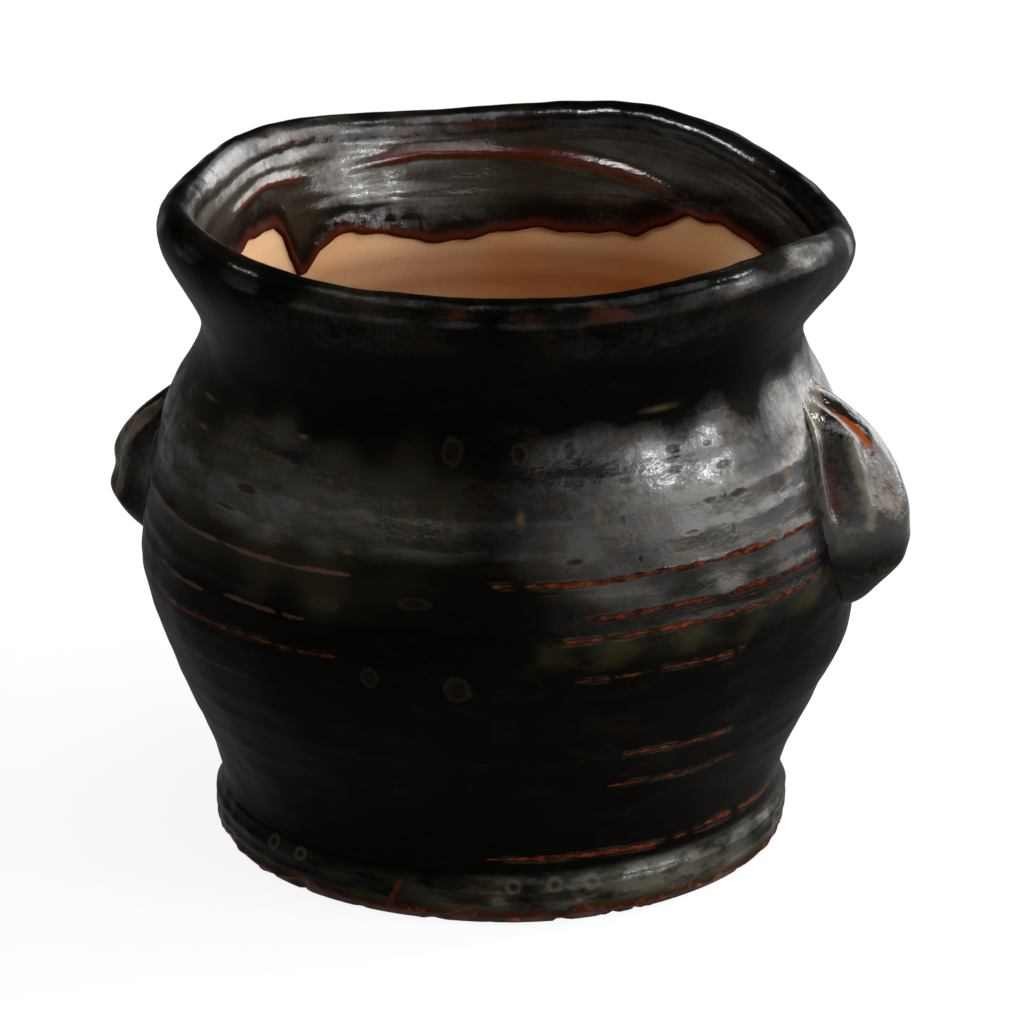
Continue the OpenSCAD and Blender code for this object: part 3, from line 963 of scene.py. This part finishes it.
def right_marks(y, z, near):
    """What the fingers pressed into the right lug; near is the distance from its front edge."""
    along = smooth((87 - z) / 7) * smooth((z - 68) / 4)
    return dict(
        hollow=-1.8 * hump(near - 2.0, 0.9) * along,
        rim=0.6 * dent(near, z, 2.2, 67.2, 1.5, 1.2),
        border=0.5 * hump(near - 0.7, 0.45) * smooth((92 - z) / 5) * smooth((z - 55) / 5),
        ridge=0.8 * hump(near - 4.1, 0.9) * smooth((90 - z) / 6) * smooth((z - 63) / 7),
        streak=-0.55 * dent(y - 0.25 * (z - 81), z, -3.6, 84.4, 1.0, 3.8),
        print_oval=-0.7 * dent(y, z, *print_at, 1.5, 3.6),
        knob=0.6 * dent(y, z, -3.0, 86.5, 2.4, 1.8) + 0.4 * dent(y, z, -6.0, 84.5, 1.2, 1.6),
        heel=-1.4 * dent(y, z, 0.0, 54.0, 9.0, 3.5),
        under=-0.8 * dent(y, z, -7.0, 62.0, 2.4, 4.5))


def left_marks(y, z, near):
    """What the fingers pressed into the left lug."""
    along = smooth((80 - z) / 5) * smooth((z - 55) / 5)
    return dict(
        hollow=-0.7 * hump(near - 2.6, 1.4) * along,
        border=0.4 * hump(near - 0.6, 0.5) * along,
        ridge=0.7 * hump(near - 4.6, 0.9) * along,
        print_oval=-0.7 * dent(y, z, -3.5, 69, 2.0, 4.0),
        under=-1.5 * dent(y, z, 0.0, 63.5, 8.0, 3.0))


print("A fingertip's print is at", print_at, "mm across and up")

# %% Raising a lug from a grid
def lug_grid(name, side, lug, marks, over, under, columns, rows=120):
    """A closed slab between two heights over the wall, on the +X or the -X side."""
    bpy.ops.object.select_all(action="DESELECT")
    bpy.ops.mesh.primitive_grid_add(x_subdivisions=columns, y_subdivisions=rows, size=2)
    piece = bpy.context.object
    piece.name = name
    piece.data.name = name
    flat = get_points(piece)
    set_numbers(piece, across=flat[:, 0], up=flat[:, 1])
    edit_all()
    bpy.ops.mesh.extrude_region_move(TRANSFORM_OT_translate={"value": (0, 0, -0.1)})
    bpy.ops.object.mode_set(mode="OBJECT")
    back = get_points(piece)[:, 2] < -0.05
    u = np.sin(get_numbers(piece, "across") * math.pi / 2)
    v = np.sin(get_numbers(piece, "up") * math.pi / 2) * 0.9985
    z = (lug["low"] + lug["top"]) / 2 + v * (lug["top"] - lug["low"]) / 2
    half = lug["width"] / 2 * np.sqrt(1 - v * v)
    y = u * half * 0.998
    near = y + half
    raised = lug_height(y, z, lug, marks)
    small = 0.05 * uneven(np.stack([y, z, 0 * z], axis=1), 5, 51)
    raised = raised + small * smooth(raised / 2)
    r = outside_r(z) + np.where(back, under(raised), over(raised))
    x = np.sqrt(r * r - y * y)
    set_points(piece, np.stack([side * x, y, z], axis=1) * MM)
    found = marks(y, z, near)
    round_print = np.hypot((y - print_at[0]) / 1.9, (z - print_at[1]) / 4.6)
    # Painted highlights: chalk along the lug's ridge, border, crown and rims, where light catches them,
    # and a pale ring round the print
    border = 1.2 * found["border"] * smooth((z - 66) / 4)
    crown_rim = hump(raised - 1.4, 0.9) * smooth((z - 82) / 4)
    pale = found["ridge"] + border + 0.6 * hump(round_print - 1, 0.3) + crown_rim + found.get("rim", 0)
    set_numbers(piece, pale=np.clip(pale, 0, 1), sunk=np.clip(-found["hollow"] / 1.6, 0, 1),
                hot=np.clip(-found.get("streak", 0 * y) * 2.2, 0, 1),
                printed=smooth((1.05 - round_print) / 0.3),
                olive=dent(y, z, -9.2, 64.5, 1.5, 2.6) + 0.6 * dent(y, z, -4.0, 58.0, 4.0, 4.0))
    close_up(0.005 * MM)
    return piece


print("A grid can be raised to a lug")

# %% Coat and clay of both lugs
sides = (("right", 1, right_lug, right_marks), ("left", -1, left_lug, left_marks))
layers = (("coat", lambda raised: raised, lambda raised: raised - 0.45, 110),
          ("clay", lambda raised: raised - 0.5, lambda raised: 0 * raised + 0.02 - coat, 55))
lug_pieces = {}
for word, side, lug, marks in sides:
    for layer, over, under, columns in layers:
        name = "lug_" + layer + "_" + word
        lug_pieces[layer, word] = lug_grid(name, side, lug, marks, over, under, columns)
print("Lug pieces:", [piece.name for piece in lug_pieces.values()])

# %% [markdown]
# # The dark glaze
# The glaze is an iron black, with soft brown and slate clouds and fine rust
# specks. Where its points say that it is thick it is glassy, and elsewhere dry. The
# clouds show only where it is thick, and elsewhere it is black: painted shade where
# no sheen falls. The broken lines have a red core that beads to orange, with faint
# pale crystals on both sides, and a burst bubble has a dark or tan middle inside a
# faint pale ring.

# %% The plain glaze
black = ink(2, 2, 1)
brown = ink(36, 25, 16)
slate = ink(24, 23, 18)
rust = ink(52, 20, 10)
deep_rust = ink(26, 9, 5)
ember = ink(80, 35, 14)
rose = ink(70, 50, 41)
chalk = ink(116, 106, 90)
olive = ink(31, 29, 10)
tan = ink(98, 79, 57)
umber = ink(22, 14, 10)
cinnamon = ink(66, 27, 14)
film_grey, amber, seal_brown = ink(33, 29, 21), ink(48, 40, 29), ink(14, 6, 4)
lip_red, inner_red_brown = ink(44, 20, 12), ink(62, 20, 8)


def glaze_base(place, thick):
    """Colour, height, roughness and mottle of the plain glaze. Its clouds show where thick is high, and
    where thick is low it is painted black, as shade.
    """
    cloud = place.noise(26, 3.0, 0.55)
    mottle = place.noise(4, 4.0, 0.65, stretch=(2.4, 2.4, 0.9))
    speck = place.noise(0.8, 2.0, 0.6)
    colour = (cloud.rise(0.4, 0.6) * thick).tint(black, slate)
    colour = (mottle.rise(0.5, 0.66) * (thick * 0.7 + 0.06)).tint(colour, brown)
    colour = (speck.rise(0.64, 0.76) * 0.12).tint(colour, rust)
    height = mottle * 0.1 + place.noise(1.3, 3.0, 0.6) * 0.07
    rough = 0.08 + place.noise(14, 3.0, 0.6, stretch=(1, 1, 0.35)) * 0.22
    return colour, height, rough, mottle


def dress_glaze(shader, colour, height, rough, skin):
    """Mixes the dry glaze with the glassy one, by how thick the glassy skin is."""
    bump = height.bump(0.6, 0.0016)
    join(shader, Base_Color=colour, Roughness=0.5, Normal=bump, Specular_IOR_Level=0.01)
    tree = height.tree
    glassy = tree.nodes.new("ShaderNodeBsdfPrincipled")
    join(glassy, Base_Color=colour, Roughness=rough, Normal=bump, Specular_IOR_Level=0.5)
    sides = {0: skin, 1: Wire(tree, shader.outputs[0]), 2: Wire(tree, glassy.outputs[0])}
    both = height.node("ShaderNodeMixShader", {}, sides)
    tree.links.new(both.socket, tree.nodes["Material Output"].inputs["Surface"])


print("Colours and helpers of the glaze are ready")

# %% The glaze over the body: clouds, olive and broken lines
glaze_look, shader, place = new_material("dark_glaze")
shine_wire = place.read("shine")
# The shine also sets the colour: painted shade, in black, where it is low
colour, height, rough, mottle = glaze_base(place, shine_wire)
colour = ((place.read("olive") + (mottle - 0.5)).rise(0.15, 0.9) * 0.6).tint(colour, olive)
# Painted sheen of the light from the left, as a grey film on the left shoulder
film = place.read("film")
colour = (film * 0.75).tint(colour, film_grey)

stray = (place.noise(1.7, 3.0, 0.6) - 0.5) * 0.7
line_half = place.read("line_half")
apart = (place.read("line_off") + stray).absolute() - line_half
seen_line = line_half.rise(0.06, 0.16)
pale_lip = (apart - 0.4).absolute().fall(0.0, 0.4) * seen_line * mottle.rise(0.4, 0.6)
warm = place.read("line_heat")
core = apart.fall(-0.25, 0.2) * seen_line * (1 - warm.fall(-0.9, -0.2) * 0.45)
bead = place.noise(1.3, 3.0, 0.65, stretch=(1.6, 1.6, 0.8)) + warm * 0.07
colour = (pale_lip * warm.rise(-0.2, 0.3) * 0.07).tint(colour, chalk)
red = bead.rise(0.4, 0.52).tint(deep_rust, bead.rise(0.54, 0.66).tint(rust, ember))
colour = core.tint(colour, warm.rise(-0.6, -0.1).tint(rose, red))
height = height + core * 0.06
print("Nodes so far:", len(place.tree.nodes))

# %% The glaze over the body: bubbles, edge and skin
bubble_x, bubble_y = place.read("bubble_across"), place.read("bubble_up")
far = place.maths("SQRT", bubble_x * bubble_x + bubble_y * bubble_y) + stray * 1.3
here = place.read("bubble_here")
middle = far.fall(0.35, 1.15) * here
ring = (far - 1.15).absolute().fall(0.05, 0.5) * here
healed = place.read("bubble_tan").rise(0.45, 1.0).tint(umber, tan)
colour = (middle * (0.5 - film * 0.22)).tint(colour, healed)
colour = (ring * 0.03).tint(colour, chalk)
height = height - middle * 0.04

above = place.read("above_edge") + stray * 1.6
colour = (above.fall(20.0, 30.0) * 0.5).tint(colour, amber)
dark_band = above.fall(3.0, 7.5)
colour = (dark_band * 0.9).tint(colour, seal_brown)
colour = (above.fall(0.3, 2.2) * 0.8).tint(colour, cinnamon)
red_share = (place.read("red") + stray * 0.9 + (mottle - 0.5) * 1.2).rise(0.45, 0.95)
colour = red_share.tint(colour, above.rise(36.0, 39.0).tint(inner_red_brown, lip_red))
hairs = (place.noise(1.1, 3.0, 0.6, stretch=(1, 1, 7)) - 0.5) * shine_wire
hairs = hairs * place.axis(2).rise(82.0, 89.0) * 0.9
patchy = place.noise(6, 5.0, 0.7, stretch=(1.6, 1.6, 0.9)).rise(0.42, 0.62) * 0.45
patchy = patchy + mottle.rise(0.44, 0.66) * 0.35
skin = (shine_wire + hairs) * (1.35 - patchy) - 0.15 - core * 0.9 - middle * 0.45 - dark_band * 0.65
dress_glaze(shader, colour, height, rough, skin)
finish_piece(glaze_coat, glaze_look, "dark_glaze", "glaze_belly", "glaze_lip")

# %% The glaze of the lugs
hollow_brown, print_clay, orange = ink(44, 22, 14), ink(84, 62, 48), ink(108, 48, 12)
lug_look, shader, place = new_material("dark_glaze_lugs")
x, z = place.axis(0), place.axis(2)
colour, height, rough, mottle = glaze_base(place, 0.5)
grit = (place.noise(1.6, 3.0, 0.6) - 0.5) * 1.2
# Painted shade: the lug turns black low down, under its bulge
colour = (z.fall(57.0, 65.0) * 0.6).tint(colour, black)
colour = (place.read("olive") + grit).rise(0.35, 0.9).tint(colour, olive)
sunk = place.read("sunk")
colour = ((sunk + grit).rise(0.3, 1.0) * mottle.rise(0.36, 0.56)).tint(colour, hollow_brown)
# Chalk as painted highlight on the lug's ridges, border, crown and rims, and a pale ring round the print
colour = ((place.read("pale") + grit * 0.6).rise(0.3, 1.0) * 0.45).tint(colour, chalk)
colour = ((place.read("printed") + grit).rise(0.4, 1.1) * 0.4).tint(colour, print_clay)
hot = place.read("hot")
colour = (hot + grit).rise(0.3, 0.9).tint(colour, orange)
skin = (0.9 - sunk * 0.5 - hot + grit * 0.5) * (1 - x.fall(-40.0, 0.0) * 0.8)
skin = skin * (0.12 + z.rise(59.0, 68.0) * 0.88)
dress_glaze(shader, colour, height + grit * 0.14, rough * 0.7, skin)
for word in ("right", "left"):
    finish_piece(lug_pieces["coat", word], lug_look, "dark_glaze", "glaze_lug_" + word)

# %% The glaze of the foot
foot_grey, foot_olive = ink(60, 59, 47), ink(34, 31, 10)
skirt_look, shader, place = new_material("dark_glaze_foot")
z = place.axis(2)
# Painted sheen: mottled grey and curls on the foot's sides that face the lamps
pale_side = place.read("pale_side") * z.fall(8.4, 10.3) * z.rise(1.8, 4.4)
colour, height, rough, mottle = glaze_base(place, pale_side)
stray = place.noise(3, 3.0) - 0.5
film = place.noise(5, 4.0, 0.65, stretch=(1.6, 1.6, 0.7))
curl = (film - 0.54).absolute().fall(0.0, 0.03)
# A faint grey band all round the flange: painted sheen
all_round = z.rise(3.0, 5.0) * z.fall(7.5, 9.5) * 0.14
colour = ((pale_side * 0.6 + all_round) * film.rise(0.36, 0.64)).tint(colour, foot_grey)
colour = (pale_side * curl * 0.1).tint(colour, chalk)
colour = ((place.read("olive") + stray).rise(0.5, 1.1) * 0.7).tint(colour, foot_olive)
ring_off = place.read("ring_off") + stray * 1.2
colour = ((ring_off - 1.0).absolute().fall(0.0, 0.6) * 0.14).tint(colour, chalk)
colour = (ring_off.fall(0.2, 0.8) * 0.6).tint(colour, umber)
colour = (place.read("streak") + stray * 0.6).rise(0.3, 0.8).tint(colour, rust)
above = place.read("above_foot_edge") + stray * 2.0
colour = (above.fall(0.4, 2.4) * 0.5).tint(colour, cinnamon)
spots = (place.noise(2.2, 3.0, 0.6) + above.fall(0.5, 3.2) * 0.12).rise(0.66, 0.74)
colour = (spots * above.fall(1.5, 3.5) * 0.8).tint(colour, ember)
dress_glaze(shader, colour, height, rough, pale_side * film.rise(0.3, 0.6) * 0.45 + 0.03)
finish_piece(foot_coat, skirt_look, "dark_glaze", "glaze_foot")

# %% [markdown]
# # The bare clay
# Inside, the stoneware is left bare. It is a warm tan, with faint throwing lines,
# grains of sand and random clouds of tone, and it is painted darker low down and on
# the right, as shade. Where it shows at the foot it is burnt nearly black, with rusty
# lumps of kiln grit.

# %% The bare clay
pale_clay, warm_clay = ink(198, 160, 122), ink(194, 144, 92)
line_brown, sand_brown = ink(150, 100, 60), ink(128, 84, 50)
inner_look, shader, place = new_material("bare_clay")
lines = place.noise(1.4, 3.0, 0.6, stretch=(30, 30, 1))
cloud = place.noise(24, 4.0, 0.6)
sand = place.noise(0.7, 2.0, 0.7)
# Painted shade deeper inside and on the right, mixed with random tone
heat_mark = place.read("toasted") + (cloud - 0.5) * 0.8
colour = heat_mark.rise(0.0, 1.0).tint(pale_clay, warm_clay)
colour = (lines.rise(0.5, 0.8) * 0.15).tint(colour, line_brown)
colour = (sand.rise(0.64, 0.74) * 0.45).tint(colour, sand_brown)
height = sand * 0.4 + lines * 0.3 + cloud * 0.3
bump = height.bump(0.4, 0.0003)
join(shader, Base_Color=colour, Roughness=0.72 + sand * 0.15, Normal=bump, Specular_IOR_Level=0.25)
finish_piece(thrown_clay, inner_look, "bare_clay", "clay_body")
for word in ("right", "left"):
    finish_piece(lug_pieces["clay", word], inner_look, "bare_clay", "lug_" + word)

# %% The burnt clay of the foot
burnt_black, burnt_brown = ink(22, 14, 9), ink(62, 36, 20)
grit_rust, soot = ink(96, 46, 20), ink(12, 9, 7)
burnt_look, shader, place = new_material("foot_clay")
cloud = place.noise(9, 4.0, 0.6)
sand = place.noise(0.9, 3.0, 0.7)
colour = cloud.rise(0.42, 0.62).tint(burnt_black, burnt_brown)
colour = (place.read("lump") + (cloud - 0.5)).rise(0.3, 0.8).tint(colour, grit_rust)
colour = (sand.rise(0.58, 0.7) * 0.6).tint(colour, soot)
height = sand * 0.7 + cloud * 0.4
bump = height.bump(0.7, 0.0004)
join(shader, Base_Color=colour, Roughness=0.6 + sand * 0.25, Normal=bump, Specular_IOR_Level=0.2)
finish_piece(foot_clay, burnt_look, "foot_clay", "foot_ring")

# %% [markdown]
# # The size
# The dressed pot's box is printed beside the imported model's box.

# %% Size and finish
dressed_box = [list(corner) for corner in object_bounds()]
for axis, low, high, low_cad, high_cad in zip("XYZ", *dressed_box, *cad_box):
    print(axis, "visual", round(low / MM, 2), round(high / MM, 2),
          "packed", round(low_cad / MM, 2), round(high_cad / MM, 2))
